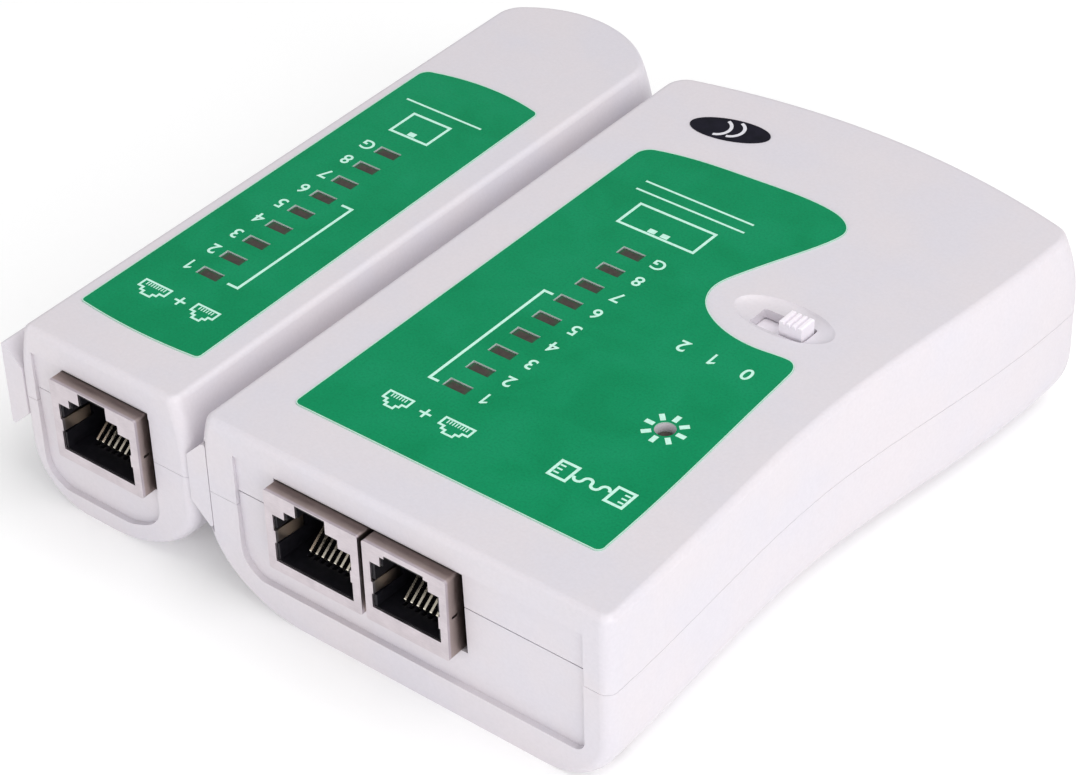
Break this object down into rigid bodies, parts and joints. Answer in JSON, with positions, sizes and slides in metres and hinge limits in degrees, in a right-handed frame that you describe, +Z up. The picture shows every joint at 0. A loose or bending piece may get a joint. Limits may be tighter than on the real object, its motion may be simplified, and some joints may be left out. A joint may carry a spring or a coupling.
{
  "type": "network cable tester",
  "caption": "Two-part hand-held network cable tester: a master unit with modular sockets, line lamps and a power switch, and a slimmer remote unit docked on its side by a dovetail rail.",
  "frame": {"origin": "under the middle of the docked pair, on the surface that it rests on", "axes": "+Z up out of the label faces; the sockets face -Y; +X from the remote towards the master"},
  "size_m": [0.1043, 0.1084, 0.0294],
  "materials": {
    "housing_plastic": "fine satin moulding",
    "label_film": "printed satin film",
    "badge_film": "printed gloss film",
    "tinned_sheet": "tinned and slightly dull",
    "socket_black": "moulded",
    "gold_wire": "gold plated",
    "lamp_lens": "clouded lens, unlit",
    "board_laminate": "solder mask",
    "chip_resin": "moulded epoxy",
    "resistor_enamel": "enamel with colour bands",
    "diode_glass": "glass body with a dark band",
    "capacitor_sleeve": "shrink sleeve",
    "battery_sleeve": "printed sleeve",
    "snap_vinyl": "soft vinyl",
    "lead_red": "vinyl insulation",
    "lead_black": "vinyl insulation",
    "screw_steel": "zinc plated",
    "switch_metal": "tinned frame",
    "knob_plastic": "fine satin moulding"
  },
  "bodies": {
    "master_unit": {"master_bottom_shell": "housing_plastic", "master_top_shell": "housing_plastic", "master_label": "label_film", "rear_badge": "badge_film", "master_circuit_board": "board_laminate", "master_line_lamps": "lamp_lens", "power_lamp": "lamp_lens", "switch_case": "switch_metal", "master_socket_shield": "tinned_sheet", "master_socket_insert": "socket_black", "master_socket_contacts": "gold_wire", "phone_socket_shield": "tinned_sheet", "phone_socket_insert": "socket_black", "phone_socket_contacts": "gold_wire", "counter_chip": "chip_resin", "timer_chip": "chip_resin", "master_resistors": "resistor_enamel", "timing_capacitor": "capacitor_sleeve", "battery": "battery_sleeve", "battery_snap": "snap_vinyl", "battery_lead_positive": "lead_red", "battery_lead_negative": "lead_black", "master_case_screws": "screw_steel", "master_board_screws": "screw_steel"},
    "remote_unit": {"remote_bottom_shell": "housing_plastic", "remote_top_shell": "housing_plastic", "remote_label": "label_film", "remote_circuit_board": "board_laminate", "remote_line_lamps": "lamp_lens", "remote_socket_shield": "tinned_sheet", "remote_socket_insert": "socket_black", "remote_socket_contacts": "gold_wire", "remote_diodes": "diode_glass", "remote_case_screws": "screw_steel", "remote_board_screws": "screw_steel"},
    "switch_knob": {"switch_knob": "knob_plastic"},
    "battery_door": {"battery_door": "housing_plastic"}
  },
  "joints": [
    {"name": "remote_slide", "type": "slide", "parent": "master_unit", "child": "remote_unit", "axis": [0, -1, 0], "range_m": [0, 0.1]},
    {"name": "power_switch_slide", "type": "slide", "parent": "master_unit", "child": "switch_knob", "axis": [-1, 0, 0], "range_m": [0, 0.0041]},
    {"name": "battery_door_slide", "type": "slide", "parent": "master_unit", "child": "battery_door", "axis": [0, 1, 0], "range_m": [0, 0.066]}
  ]
}
